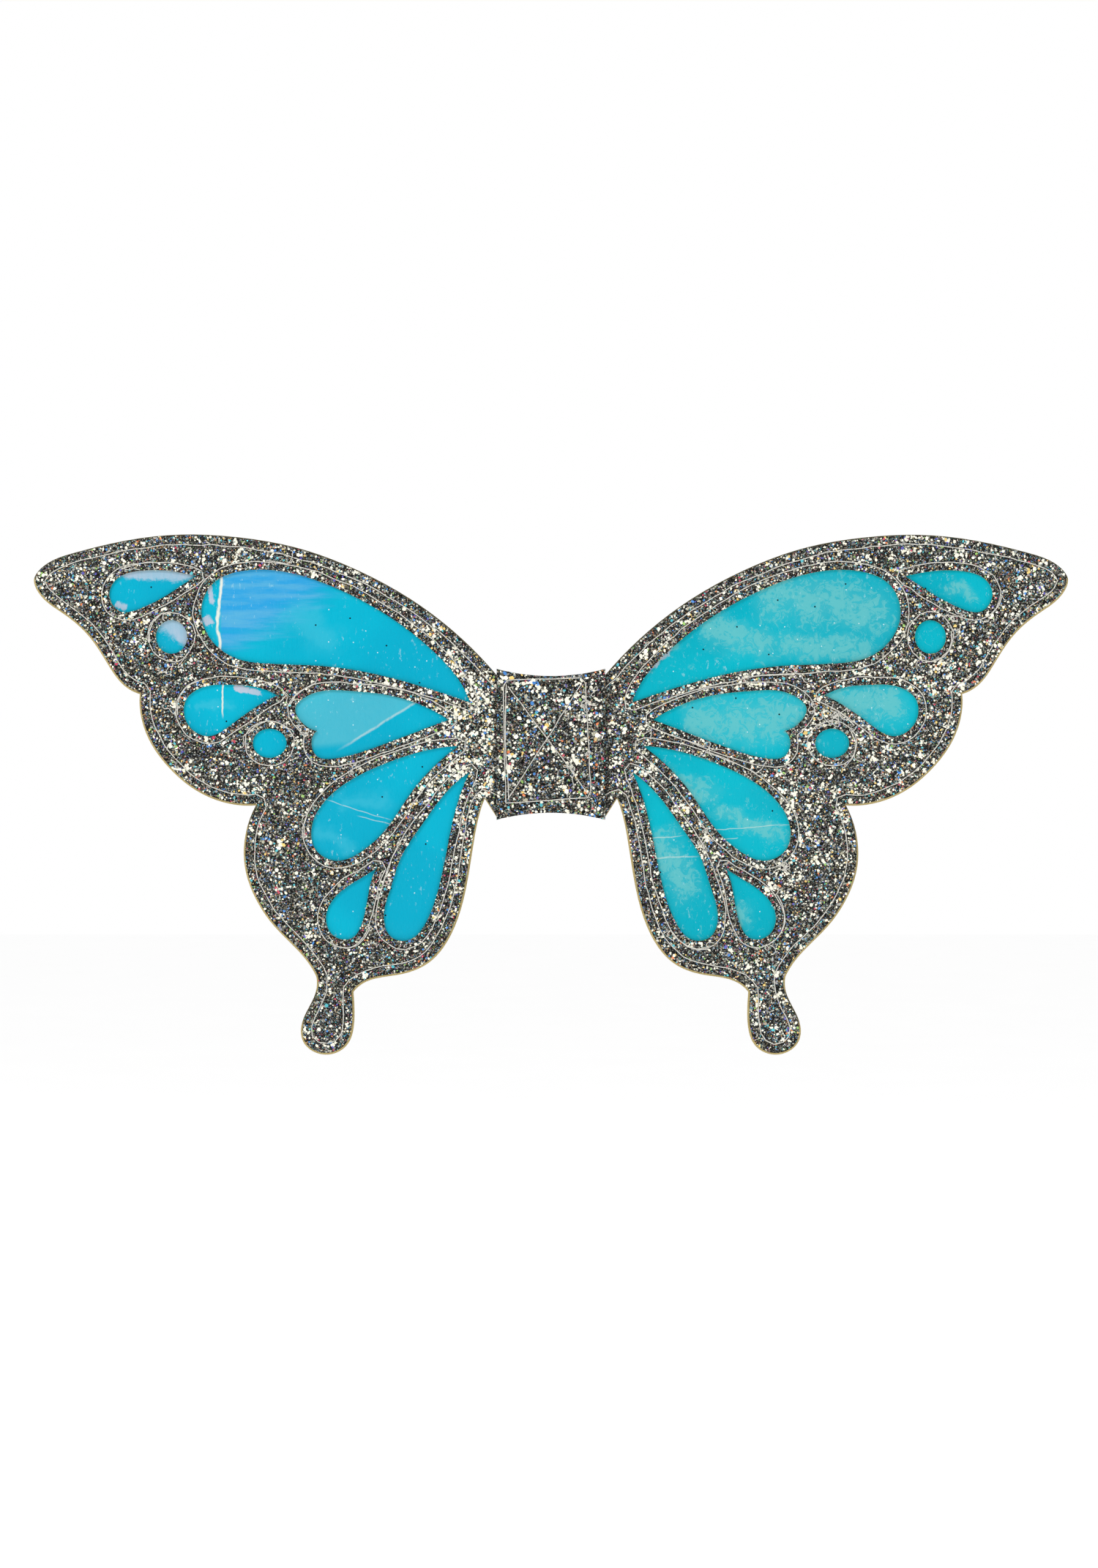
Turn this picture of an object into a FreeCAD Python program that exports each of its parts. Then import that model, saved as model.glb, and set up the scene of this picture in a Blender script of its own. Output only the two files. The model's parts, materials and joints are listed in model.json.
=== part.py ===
"""Fairy wings: two layered glitter-fabric wings sewn into a centre panel with a hook-tape patch.

Frame: millimetres, +X towards the wearer's right wing, +Y towards the wearer's back, +Z up.
The origin is the centre of the hook patch, on the tips of its hooks.
"""
import FreeCAD, Part
import os
from FreeCAD import Vector

os.makedirs("parts", exist_ok=True)

# ---------------------------------------------------------------- driving dimensions
# layers, counted outwards from the middle of the wing
CORE_HALF = 0.55        # half of the tan stiffener
FILM_T = 0.15
SKIN_T = 0.80
THREAD_T = 0.25
THREAD_W = 0.45

# hook patch, from its face inwards
HOOK_H = 0.90
TAPE_T = 0.60
PATCH_HALF_W = 19.0
PATCH_HALF_H = 25.0
PATCH_CORNER_R = 2.5
GROOVE_W = 1.40         # row of hooks pressed flat by each line of stitches

# centre panel
PANEL_HALF_W = 20.0
PANEL_HALF_H = 27.8     # at its corners
PANEL_WAIST = 25.2      # at its middle, where the edge dips
ROOT_INNER = 1.0        # the two wing roots stop this far from the middle
ROOT_HALF_H = 23.5      # at that inner end

# wing
FOLD_GAP = 0.30         # clearance on each side of the fold line
SKIN_SETBACK = 0.40     # the tan layer shows by this much round the skins
FILM_SETBACK = 2.20
EDGE_SEAM_IN = 3.90
WINDOW_SEAM_OUT = 2.70

FAR = 400.0             # longer than anything here

# worked out
HALF_WING = CORE_HALF + FILM_T + SKIN_T
Y_MID = -(HOOK_H + TAPE_T + SKIN_T + HALF_WING)
FOLD_X = PANEL_HALF_W + HALF_WING + FOLD_GAP
WING_X = FOLD_X + FOLD_GAP

# ---------------------------------------------------------------- outlines (x outwards, z up), right wing
# each run is a smooth curve, and the wing has a corner where two runs meet
WING_RUNS = [
    # leading edge, from the panel up to the tip
    [(20.0, 25.6), (31.2, 37.5), (50.0, 52.5), (70.9, 64.1), (93.3, 72.4), (116.8, 76.5), (134.6, 77.4),
     (158.4, 74.9), (176.0, 70.7), (187.0, 66.0), (190.4, 61.5), (188.4, 55.6), (179.7, 48.5),
     (170.6, 40.6), (163.9, 30.9), (158.6, 23.2), (151.4, 18.8)],
    # middle lobe
    [(151.4, 18.8), (150.9, 10.0), (147.6, 1.0), (140.5, -8.6), (131.4, -16.3), (120.6, -21.1), (108.6, -22.2)],
    # lower lobe and tail
    [(108.6, -22.2), (112.6, -34.2), (112.5, -46.0), (108.4, -57.4), (101.7, -67.1), (92.0, -77.0),
     (86.2, -85.6)],
    [(86.2, -85.6), (87.0, -92.5), (91.4, -101.9), (91.0, -109.8), (83.6, -114.2), (76.0, -111.4),
     (72.8, -101.7), (73.1, -91.2)],
    # inner edge, back to the root
    [(73.1, -91.2), (67.4, -86.9), (55.8, -84.6), (44.9, -80.1), (37.4, -70.7), (33.1, -59.5), (30.6, -47.9),
     (28.7, -36.0), (26.4, -25.5), (24.4, -20.0)],
]
ROOT_FOOT = (19.6, -27.5)

# windows: runs of a smooth curve again, closed at a point
WINDOW_RUNS = {
    "tip_drop": [
        [(130.4, 62.0), (140.5, 63.9), (151.0, 64.0), (160.0, 61.0), (162.8, 55.0), (158.6, 49.0),
         (151.0, 50.1), (141.0, 55.2), (130.4, 62.0)]],
    "main_pane": [
        [(29.8, 15.4), (42.8, 19.8), (62.2, 25.3), (84.0, 28.8), (104.0, 29.7), (117.0, 32.1), (125.6, 39.0),
         (128.9, 49.0), (124.6, 59.2), (113.0, 64.0), (97.0, 63.4), (78.0, 57.1), (57.6, 45.8),
         (42.0, 33.1), (34.0, 23.9), (29.8, 15.4)]],
    "middle_drop": [
        [(100.6, 18.0), (108.4, 21.1), (118.0, 22.0), (127.4, 21.4), (134.5, 16.6), (134.3, 8.0),
         (126.8, 3.0), (116.5, 8.2), (108.4, 13.9), (100.6, 18.0)]],
    "heart": [
        [(37.6, 9.0), (46.3, 13.9), (60.2, 18.2), (75.2, 19.8), (88.6, 18.4), (94.2, 13.0), (91.8, 8.2),
         (86.2, 5.0)],
        [(86.2, 5.0), (88.2, 0.6), (86.4, -4.2), (79.4, -5.2), (66.3, -1.7), (52.2, 3.5), (37.6, 9.0)]],
    "teardrop": [
        [(33.7, -0.5), (44.1, -1.8), (58.7, -6.1), (72.5, -12.4), (82.6, -20.1), (88.0, -29.5),
         (86.9, -38.6), (79.6, -42.9), (69.6, -39.4), (60.1, -30.5), (51.6, -18.0), (43.0, -8.1),
         (33.7, -0.5)]],
    "long_pane": [
        [(29.8, -10.0), (38.9, -18.0), (47.9, -30.1), (55.4, -42.0), (59.0, -52.8), (61.6, -63.5),
         (58.6, -71.2), (52.2, -72.1), (46.4, -66.4), (42.1, -55.8), (39.1, -43.0), (36.8, -31.2),
         (34.0, -20.4), (29.8, -10.0)]],
    "small_drop": [
        [(63.9, -45.3), (72.7, -50.9), (80.3, -57.2), (83.0, -64.4), (79.6, -70.9), (73.6, -71.6),
         (69.6, -66.0), (67.6, -57.4), (63.9, -45.3)]],
}
# windows that are ovals: centre and half sizes
WINDOW_OVALS = {
    "upper_dot": ((139.8, 39.6), 5.8, 6.2),
    "lower_dot": ((103.6, 0.4), 6.3, 5.4),
}

# stitching on the panel: the corners of the box, and the cross from corner to corner
BOX_CORNERS = [(-17.4, 23.6), (12.4, 24.2), (14.6, -19.4), (-16.5, -21.4)]


# ---------------------------------------------------------------- helpers
def point(xz, y=0.0):
    return Vector(xz[0], y, xz[1])


def spline(points):
    curve = Part.BSplineCurve()
    curve.interpolate([point(p) for p in points])
    return curve.toShape()


def line(a, b):
    return Part.LineSegment(point(a), point(b)).toShape()


def closed_wire(edges):
    return Part.Wire(Part.__sortEdges__(edges))


def runs_wire(runs):
    """A closed outline from smooth runs; a single run is parted half way, so that both ends join up."""
    if len(runs) > 1:
        return closed_wire([spline(run) for run in runs])
    curve = Part.BSplineCurve()
    curve.interpolate([point(p) for p in runs[0]])
    middle = (curve.FirstParameter + curve.LastParameter) / 2
    halves = [curve.toShape(curve.FirstParameter, middle), curve.toShape(middle, curve.LastParameter)]
    return closed_wire(halves)


def oval_wire(centre, half_w, half_h):
    """An ellipse in the plane of the wing."""
    ellipse = Part.Ellipse(Vector(0, 0, 0), max(half_w, half_h), min(half_w, half_h))
    edge = ellipse.toShape()
    edge.rotate(Vector(0, 0, 0), Vector(1, 0, 0), 90)
    if half_h > half_w:
        edge.rotate(Vector(0, 0, 0), Vector(0, 1, 0), 90)
    edge.translate(point(centre))
    return Part.Wire([edge])


def plane_face(wires):
    return Part.makeFace(wires, "Part::FaceMakerBullseye")


def slab(face, y_low, y_high):
    """The solid of a flat face between two depths."""
    solid = face.copy()
    solid.translate(Vector(0, y_low, 0))
    return solid.extrude(Vector(0, y_high - y_low, 0))


def offset_wire(wire, distance):
    """The outline moved out (or in, if negative) by a distance, with round corners."""
    moved = plane_face([wire]).makeOffset2D(distance, 0, False, False, False)
    return moved.toNurbs().Wires[0]


def ring_face(wire, distance, width):
    """A band of one width that follows an outline at a distance."""
    outer = offset_wire(wire, distance + width / 2)
    inner = offset_wire(wire, distance - width / 2)
    return plane_face([outer, inner])


def band_face(a, b, width):
    """A straight strip from a to b."""
    along = (point(b) - point(a)).normalize()
    side = Vector(along.z, 0, -along.x) * (width / 2)
    corners = [point(a) + side, point(b) + side, point(b) - side, point(a) - side]
    return Part.Face(Part.makePolygon(corners + corners[:1]))


def between(solid, x_low, x_high=FAR):
    """What is left of a solid between two distances from the middle."""
    keep = Part.makeBox(x_high - x_low, FAR, 2 * FAR, Vector(x_low, -FAR / 2, -FAR))
    return solid.common(keep)


def mirrored(shape):
    return shape.mirror(Vector(0, 0, 0), Vector(1, 0, 0))


def write(name, shape):
    solids = shape.Solids
    result = solids[0] if len(solids) == 1 else Part.makeCompound(solids)
    if not result.isValid():
        print("NOT VALID", name)
    result.exportStep("parts/" + name + ".step")
    box = result.optimalBoundingBox(False)
    print("%-26s solids %d  x %.1f..%.1f  y %.2f..%.2f  z %.1f..%.1f" % (
        name, len(solids), box.XMin, box.XMax, box.YMin, box.YMax, box.ZMin, box.ZMax))


def write_pair(name, shape):
    write("right_" + name, shape)
    write("left_" + name, mirrored(shape))


# ---------------------------------------------------------------- wing
def wing_wire():
    """The whole wing, with the root that runs in under the centre panel."""
    edges = [spline(run) for run in WING_RUNS]
    root = [WING_RUNS[-1][-1], ROOT_FOOT, (ROOT_INNER, -ROOT_HALF_H), (ROOT_INNER, ROOT_HALF_H), WING_RUNS[0][0]]
    edges += [line(a, b) for a, b in zip(root, root[1:])]
    return closed_wire(edges)


def window_wires():
    wires = {name: runs_wire(runs) for name, runs in WINDOW_RUNS.items()}
    for name, (centre, half_w, half_h) in WINDOW_OVALS.items():
        wires[name] = oval_wire(centre, half_w, half_h)
    return wires


def both_sides(face, inner, outer):
    """One solid on the front and its twin on the back, at the same distance from the middle."""
    return slab(face, Y_MID - outer, Y_MID - inner), slab(face, Y_MID + inner, Y_MID + outer)


def make_wing():
    outline = wing_wire()
    windows = window_wires()
    film_edge = CORE_HALF + FILM_T

    wing_face = plane_face([outline])
    root = slab(wing_face, Y_MID - HALF_WING, Y_MID + HALF_WING)
    write_pair("root", between(root, ROOT_INNER, PANEL_HALF_W))

    core = slab(wing_face, Y_MID - CORE_HALF, Y_MID + CORE_HALF)
    write_pair("core", between(core, WING_X))

    film_face = plane_face([offset_wire(outline, -FILM_SETBACK)])
    front_film, back_film = both_sides(film_face, CORE_HALF, film_edge)
    write_pair("front_film", between(front_film, WING_X))
    write_pair("back_film", between(back_film, WING_X))

    skin_face = plane_face([offset_wire(outline, -SKIN_SETBACK)] + list(windows.values()))
    front_skin, back_skin = both_sides(skin_face, film_edge, HALF_WING)
    write_pair("front_skin", between(front_skin, WING_X))
    write_pair("back_skin", between(back_skin, WING_X))

    # the perimeter seam, then one seam round each window: needle thread in front, bobbin thread behind
    seam_top = HALF_WING + THREAD_T
    edge_ring = ring_face(outline, -EDGE_SEAM_IN, THREAD_W)
    threads = [between(side, WING_X) for side in both_sides(edge_ring, HALF_WING, seam_top)]
    write_pair("edge_seam", Part.makeCompound(threads))
    for name, wire in windows.items():
        ring = ring_face(wire, WINDOW_SEAM_OUT, THREAD_W)
        threads = both_sides(ring, HALF_WING, seam_top)
        write_pair(name + "_seam", Part.makeCompound(threads))


# ---------------------------------------------------------------- centre panel
def panel_wire():
    w, h = PANEL_HALF_W, PANEL_HALF_H
    top = Part.Arc(point((-w, h)), point((0, PANEL_WAIST)), point((w, h))).toShape()
    bottom = Part.Arc(point((w, -h)), point((0, -PANEL_WAIST)), point((-w, -h))).toShape()
    return closed_wire([top, line((w, h), (w, -h)), bottom, line((-w, -h), (-w, h))])


def patch_face(half_w, half_h, radius):
    """A rectangle with rounded corners."""
    across = band_face((-half_w, 0), (half_w, 0), 2 * (half_h - radius))
    upright = band_face((0, -half_h), (0, half_h), 2 * (half_w - radius))
    face = across.fuse(upright)
    for sx in (-1, 1):
        for sz in (-1, 1):
            centre = (sx * (half_w - radius), sz * (half_h - radius))
            face = face.fuse(plane_face([oval_wire(centre, radius, radius)]))
    return face.removeSplitter().Faces[0]


def box_loop_face(width):
    """The four-sided line of stitches, with mitred corners."""
    corners = [point(p) for p in BOX_CORNERS]
    wire = Part.makePolygon(corners + corners[:1])
    return ring_face(wire, 0, width)


def cross_faces(width, shortening):
    """The two lines of the cross, stopped short of the box."""
    faces = []
    for a, b in ((0, 2), (1, 3)):
        start = point(BOX_CORNERS[a])
        end = point(BOX_CORNERS[b])
        step = (end - start).normalize() * shortening
        first = start + step
        last = end - step
        faces.append(band_face((first.x, first.z), (last.x, last.z), width))
    return faces


def make_panel():
    y_front = Y_MID - HALF_WING
    y_back = Y_MID + HALF_WING
    y_tape = -(HOOK_H + TAPE_T)
    face = plane_face([panel_wire()])
    write("panel_front", slab(face, y_front - SKIN_T, y_front))
    write("panel_back", slab(face, y_back, y_back + SKIN_T))

    patch = patch_face(PATCH_HALF_W, PATCH_HALF_H, PATCH_CORNER_R)
    write("hook_tape", slab(patch, y_tape, -HOOK_H))

    # the hooks stand up except where the stitches press them down
    grooves = [slab(box_loop_face(GROOVE_W), -HOOK_H, 0)]
    grooves += [slab(f, -HOOK_H, 0) for f in cross_faces(GROOVE_W, 0.0)]
    hooks = slab(patch, -HOOK_H, 0)
    for groove in grooves:
        hooks = hooks.cut(groove)
    write("hook_pile", hooks)

    y_threads = ((y_front - SKIN_T - THREAD_T, y_front - SKIN_T), (-HOOK_H, -HOOK_H + THREAD_T))
    box = box_loop_face(THREAD_W)
    write("box_stitch", Part.makeCompound([slab(box, low, high) for low, high in y_threads]))
    arms = cross_faces(THREAD_W, 2 * THREAD_W)
    cross = arms[0].fuse(arms[1]).removeSplitter()
    pieces = [slab(f, low, high) for f in cross.Faces for low, high in y_threads]
    write("cross_stitch", Part.makeCompound(pieces))


make_wing()
make_panel()
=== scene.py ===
"""Fairy wings: the looks of the glitter fabric, film windows, stitching, centre panel and hook patch.

Metres, +Z up. The wings stand in the XZ plane, and the decorated front faces -Y.
"""
import json
import math
import random

import bpy
import numpy as np
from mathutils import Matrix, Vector, noise
from mathutils.geometry import delaunay_2d_cdt
from mathutils.kdtree import KDTree


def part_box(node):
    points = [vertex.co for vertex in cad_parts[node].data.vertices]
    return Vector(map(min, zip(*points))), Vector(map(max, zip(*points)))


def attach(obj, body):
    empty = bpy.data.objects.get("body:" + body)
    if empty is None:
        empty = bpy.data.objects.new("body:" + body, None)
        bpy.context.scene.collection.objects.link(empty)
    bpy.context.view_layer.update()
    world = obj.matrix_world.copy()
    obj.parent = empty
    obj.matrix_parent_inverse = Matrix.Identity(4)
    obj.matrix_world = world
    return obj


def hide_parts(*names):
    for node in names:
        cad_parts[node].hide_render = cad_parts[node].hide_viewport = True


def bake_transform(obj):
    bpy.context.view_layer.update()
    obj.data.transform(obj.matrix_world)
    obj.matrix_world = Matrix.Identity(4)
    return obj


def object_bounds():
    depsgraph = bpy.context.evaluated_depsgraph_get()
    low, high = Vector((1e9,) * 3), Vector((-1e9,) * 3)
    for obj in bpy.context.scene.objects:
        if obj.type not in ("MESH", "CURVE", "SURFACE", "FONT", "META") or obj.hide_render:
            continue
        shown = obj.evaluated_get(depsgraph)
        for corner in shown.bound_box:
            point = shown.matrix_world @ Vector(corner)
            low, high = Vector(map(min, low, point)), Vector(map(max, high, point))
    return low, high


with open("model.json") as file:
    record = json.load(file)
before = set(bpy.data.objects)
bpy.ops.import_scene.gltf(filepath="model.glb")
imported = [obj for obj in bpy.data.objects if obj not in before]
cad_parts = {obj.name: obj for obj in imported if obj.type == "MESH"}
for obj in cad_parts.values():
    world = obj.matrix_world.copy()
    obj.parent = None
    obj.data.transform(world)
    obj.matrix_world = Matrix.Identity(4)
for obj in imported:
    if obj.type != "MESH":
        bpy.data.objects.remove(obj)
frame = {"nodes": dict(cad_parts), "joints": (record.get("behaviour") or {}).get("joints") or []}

cad_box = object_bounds()

MM = 0.001
SIDES = {"left": -1, "right": 1}
FACES = {"front": -1, "back": 1}
WINDOWS = ("tip_drop", "main_pane", "upper_dot", "middle_drop", "heart", "lower_dot", "teardrop",
           "long_pane", "small_drop")
FOLD = {side: next(j for j in frame["joints"] if j["child"] == side + "_wing") for side in SIDES}

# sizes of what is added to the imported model
FINE_STEP = 0.25 * MM        # between the points that stand for a line, to measure from
EDGE_STEP = 0.6 * MM         # between the points of an outline
SKIN_STEP = 1.5 * MM         # between the points over a sheet
FILM_STEP = 1.6 * MM
FELT_STEP = 2.5 * MM
STITCH = 3.4 * MM
THREAD_R = 0.2 * MM
LOOSE_R = 0.72 * THREAD_R    # a loose end has lost one of its plies
FLAKE_R = 0.30 * MM
FLAKE_DENSITY = 1.4e6        # flakes on a square metre of a wing's front
BACK_SHARE = 0.65            # the wing's back has fewer
PANEL_SHARE = 0.75           # the panel's are fewer and larger
PANEL_FLAKE_R = 1.25 * FLAKE_R
HOOK_GAP = 1.25 * MM
STALK_R = 0.11 * MM
SKIN_SETBACK = 0.40 * MM
FILM_SETBACK = 2.20 * MM
LIP = 0.30 * MM              # the stiffener stands out by this much where it faces down
MIDDLE = FOLD["left"]["pos_m"][1]
CORNER = math.radians(24)    # an outline that turns more than this at a point has a corner there
IN_LINE = 0.02 * MM          # points that differ by less lie on one straight edge
LUMP = 2.6 * MM              # the size of the lumps in the glitter
OLD_FOLD_X = -122.0          # the old fold mark down the left wing, and how far it runs, in mm
OLD_FOLD_Z = (3.0, 67.0)

# marks on the film, each from one place to another and half as wide as the last number, in mm
WORN = (((-80.0, -22.0), (-56.0, -19.0), 6.0),
        ((-88.0, -31.0), (-70.0, -40.0), 5.0),
        ((-100.0, 52.0), (-76.0, 34.0), 9.0),
        ((-131.0, 14.0), (-113.0, 13.6), 3.5),
        ((72.0, 58.0), (134.0, 46.0), 16.0),
        ((54.0, 44.0), (88.0, 34.0), 10.0),
        ((80.0, 38.0), (128.0, 33.0), 8.0),
        ((30.0, 26.0), (50.0, 40.0), 4.0),
        ((144.0, 58.0), (160.0, 53.0), 4.5),
        ((44.0, 7.0), (104.0, 12.0), 14.0),
        ((100.0, 18.0), (136.0, 13.0), 13.0),
        ((36.0, -12.0), (66.0, -20.0), 7.0),
        ((56.0, -24.0), (92.0, -36.0), 5.0),
        ((38.0, -30.0), (52.0, -62.0), 9.0),
        ((62.0, -58.0), (76.0, -66.0), 6.0))
# painted reflection: pale patches where the lamps are mirrored in the front film
LAMP_GLARE = (((-161.0, 64.5), (-127.0, 63.0), 5.7),
         ((-161.0, 52.0), (-155.5, 50.0), 2.2),
         ((-145.5, 49.0), (-128.5, 36.5), 7.8),
         ((-117.5, 21.0), (-105.0, 18.6), 2.0),
         ((-127.5, 47.5), (-125.5, 43.5), 2.8),
         ((-126.0, 60.0), (-124.5, 50.0), 1.6),
         ((31.0, 24.0), (46.0, 37.0), 2.6))
# painted highlight: the pale line where the old fold in the film catches the light
CREASES = (((-121.2, 66.0), (-123.2, 38.0), 0.8),
           ((-123.2, 44.0), (-120.6, 22.0), 0.8),
           ((-121.0, 25.0), (-121.2, 9.0), 0.5))
SCRATCHES = (((-46.5, 17.6), (-80.0, -3.2), 0.7), ((-84.0, -20.0), (-56.0, -29.0), 0.3),
             ((-72.0, -26.0), (-54.0, -31.0), 0.3), ((52.0, -32.0), (96.0, -29.0), 0.3),
             ((50.0, -36.0), (84.0, -33.0), 0.25), ((34.0, -35.0), (50.0, -33.5), 0.35),
             ((36.0, -42.0), (56.0, -41.0), 0.45), ((134.0, 36.0), (135.0, 27.0), 0.3))

# where the thread bunched up: a place on the wing in mm, and how many ends lie there
TANGLES = {"left": (((-72.0, -8.2), 5), ((-90.5, 6.5), 2), ((-65.0, -52.0), 2), ((-137.0, 31.0), 2)),
           "right": (((104.0, 9.0), 9), ((85.2, -44.7), 6), ((56.5, -34.0), 4), ((150.0, 46.5), 4),
                     ((97.0, 14.0), 3)),
           "panel": (((12.8, 12.8), 4), ((7.4, -10.1), 3), ((13.6, 19.0), 2), ((14.0, -6.0), 1))}

# the camera's view, square on to the front
VIEW_HEIGHT = 0.5786
CAMERA_X = -0.0007
CAMERA_Z = -0.0146
LENS = 85
SENSOR = 36

# the room: its even light, next to its brightness as a backdrop, its floor,
# and each lamp's name, place, width and power
ROOM_LIGHT = 0.42
FLOOR_SIZE = 6.0
FLOOR_DROP = 0.2
LAMPS = (("key", (-0.7, -1.0, 0.9), 0.5, 8.5),
         ("fill", (0.9, -0.9, 0.3), 0.8, 2.6),
         ("rear", (0.4, 1.2, 0.8), 0.7, 8.5))


# ---------------------------------------------------------------- shader and geometry node helpers
class Value:
    """What a node gives; arithmetic on it adds Math nodes."""

    def __init__(self, nodes, socket):
        self.nodes = nodes
        self.socket = socket

    def math(self, operation, *others):
        return self.nodes.value(self.nodes.node("ShaderNodeMath", {"operation": operation}, self, *others))

    def __add__(self, other):
        return self.math("ADD", other)

    def __mul__(self, other):
        return self.math("MULTIPLY", other)

    def __sub__(self, other):
        return self.math("SUBTRACT", other)

    def __rsub__(self, other):
        return (self * -1.0) + other

    def __truediv__(self, other):
        return self.math("DIVIDE", other)

    def __pow__(self, other):
        return self.math("POWER", other)

    __radd__ = __add__
    __rmul__ = __mul__

    def above(self, limit):
        return self.math("GREATER_THAN", limit)

    def clamp(self):
        return self.math("MINIMUM", 1.0).math("MAXIMUM", 0.0)

    def ramp(self, low, high):
        """0 at low, 1 at high, and smooth between."""
        made = self.nodes.node("ShaderNodeMapRange", {"interpolation_type": "SMOOTHSTEP"}, self, low, high)
        return self.nodes.value(made)


class Nodes:
    """Adds nodes to a tree, of a material, of the world or of geometry."""

    def __init__(self, tree):
        self.tree = tree

    def feed(self, slot, item):
        """Sets a socket, or links it to a value, a socket, or a node's first output."""
        if isinstance(item, bpy.types.Node):
            item = item.outputs[0]
        if isinstance(item, Value):
            item = item.socket
        if isinstance(item, bpy.types.NodeSocket):
            self.tree.links.new(item, slot)
        else:
            slot.default_value = item

    def node(self, kind, settings=None, *inputs, **named):
        """Any node: its settings first, then the values or links of its sockets, in order or by name."""
        node = self.tree.nodes.new(kind)
        for key, value in (settings or {}).items():
            setattr(node, key, value)
        for slot, item in zip(node.inputs, inputs):
            self.feed(slot, item)
        for key, item in named.items():
            self.feed(node.inputs[key.replace("_", " ")], item)
        return node

    def value(self, node, output=0):
        return Value(self, node.outputs[output])

    def join(self, x=0.0, y=0.0, z=0.0):
        return self.node("ShaderNodeCombineXYZ", None, x, y, z).outputs[0]

    def axes(self, where):
        parts = self.node("ShaderNodeSeparateXYZ", None, where)
        return [self.value(parts, i) for i in range(3)]

    def vector(self, operation, *inputs, output=0, **named):
        return self.node("ShaderNodeVectorMath", {"operation": operation}, *inputs, **named).outputs[output]


class Paint(Nodes):
    """One material: a Principled shader and the nodes that drive it."""

    def __init__(self, name, **constants):
        self.material = bpy.data.materials.new(name)
        self.material.use_nodes = True
        super().__init__(self.material.node_tree)
        self.shader = self.tree.nodes["Principled BSDF"]
        self.finish(**constants)

    def finish(self, **sockets):
        for key, item in sockets.items():
            self.feed(self.shader.inputs[key.replace("_", " ")], item)
        return self.material

    def place(self):
        """Object coordinates in millimetres."""
        return self.vector("SCALE", self.node("ShaderNodeTexCoord").outputs["Object"], Scale=1 / MM)

    def noise(self, where, scale, detail=2.0, roughness=0.5, distortion=0.0):
        return self.value(self.node("ShaderNodeTexNoise", Vector=where, Scale=scale, Detail=detail,
                                    Roughness=roughness, Distortion=distortion))

    def warp(self, where, scale, reach):
        """The same place pushed about by noise, by up to about half of reach in mm."""
        push = self.node("ShaderNodeTexNoise", Vector=where, Scale=scale, Detail=5.0, Roughness=0.65)
        push = self.vector("SUBTRACT", push.outputs["Color"], (0.5, 0.5, 0.5))
        return self.vector("ADD", where, self.vector("SCALE", push, Scale=reach))

    def cells(self, where, scale, dimensions="3D"):
        """Voronoi cells: the distance to the nearest seed and three random values for each cell."""
        settings = {"voronoi_dimensions": dimensions}
        made = self.node("ShaderNodeTexVoronoi", settings, Vector=where, Scale=scale)
        parts = self.node("ShaderNodeSeparateColor", Color=made.outputs["Color"])
        return [self.value(made, "Distance")] + [self.value(parts, i) for i in range(3)]

    def streak(self, x, z, start, end, width):
        """1 along a straight mark from start to end, in millimetres, fading to 0 at its sides and ends."""
        length = math.dist(start, end)
        ux, uz = ((b - a) / length for a, b in zip(start, end))
        first = start[0] * ux + start[1] * uz
        aside = start[0] * uz - start[1] * ux
        along = x.math("MULTIPLY_ADD", ux, z.math("MULTIPLY_ADD", uz, -first))
        off = x.math("MULTIPLY_ADD", uz, z.math("MULTIPLY_ADD", -ux, -aside)).math("ABSOLUTE")
        ends = along.ramp(0.0, 0.15 * length) * along.ramp(length, 0.7 * length)
        return ends * off.ramp(width, 0.0)

    def marks(self, x, z, table):
        """All the streaks of a table; where two cross, the stronger one shows."""
        shown = self.streak(x, z, *table[0])
        for streak in table[1:]:
            shown = shown.math("MAXIMUM", self.streak(x, z, *streak))
        return shown

    def attribute(self, name):
        return self.value(self.node("ShaderNodeAttribute", {"attribute_name": name}), "Fac")

    def mix(self, factor, a, b, blend="MIX"):
        """Between two colours."""
        node = self.node("ShaderNodeMix", {"data_type": "RGBA", "blend_type": blend}, factor)
        self.feed(node.inputs[6], a)
        self.feed(node.inputs[7], b)
        return node.outputs[2]

    def grey(self, value):
        return self.node("ShaderNodeCombineColor", None, value, value, value)

    def stops(self, value, stops):
        """One flat colour from each stop up to the next."""
        node = self.node("ShaderNodeValToRGB")
        node.color_ramp.interpolation = "CONSTANT"
        ramp = node.color_ramp.elements
        while len(ramp) < len(stops):
            ramp.new(0.5)
        for element, (position, colour) in zip(ramp, stops):
            element.position = position
            element.color = colour
        self.feed(node.inputs[0], value)
        return node

    def bump(self, height, distance, strength):
        return self.node("ShaderNodeBump", Height=height, Distance=distance, Strength=strength)


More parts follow.
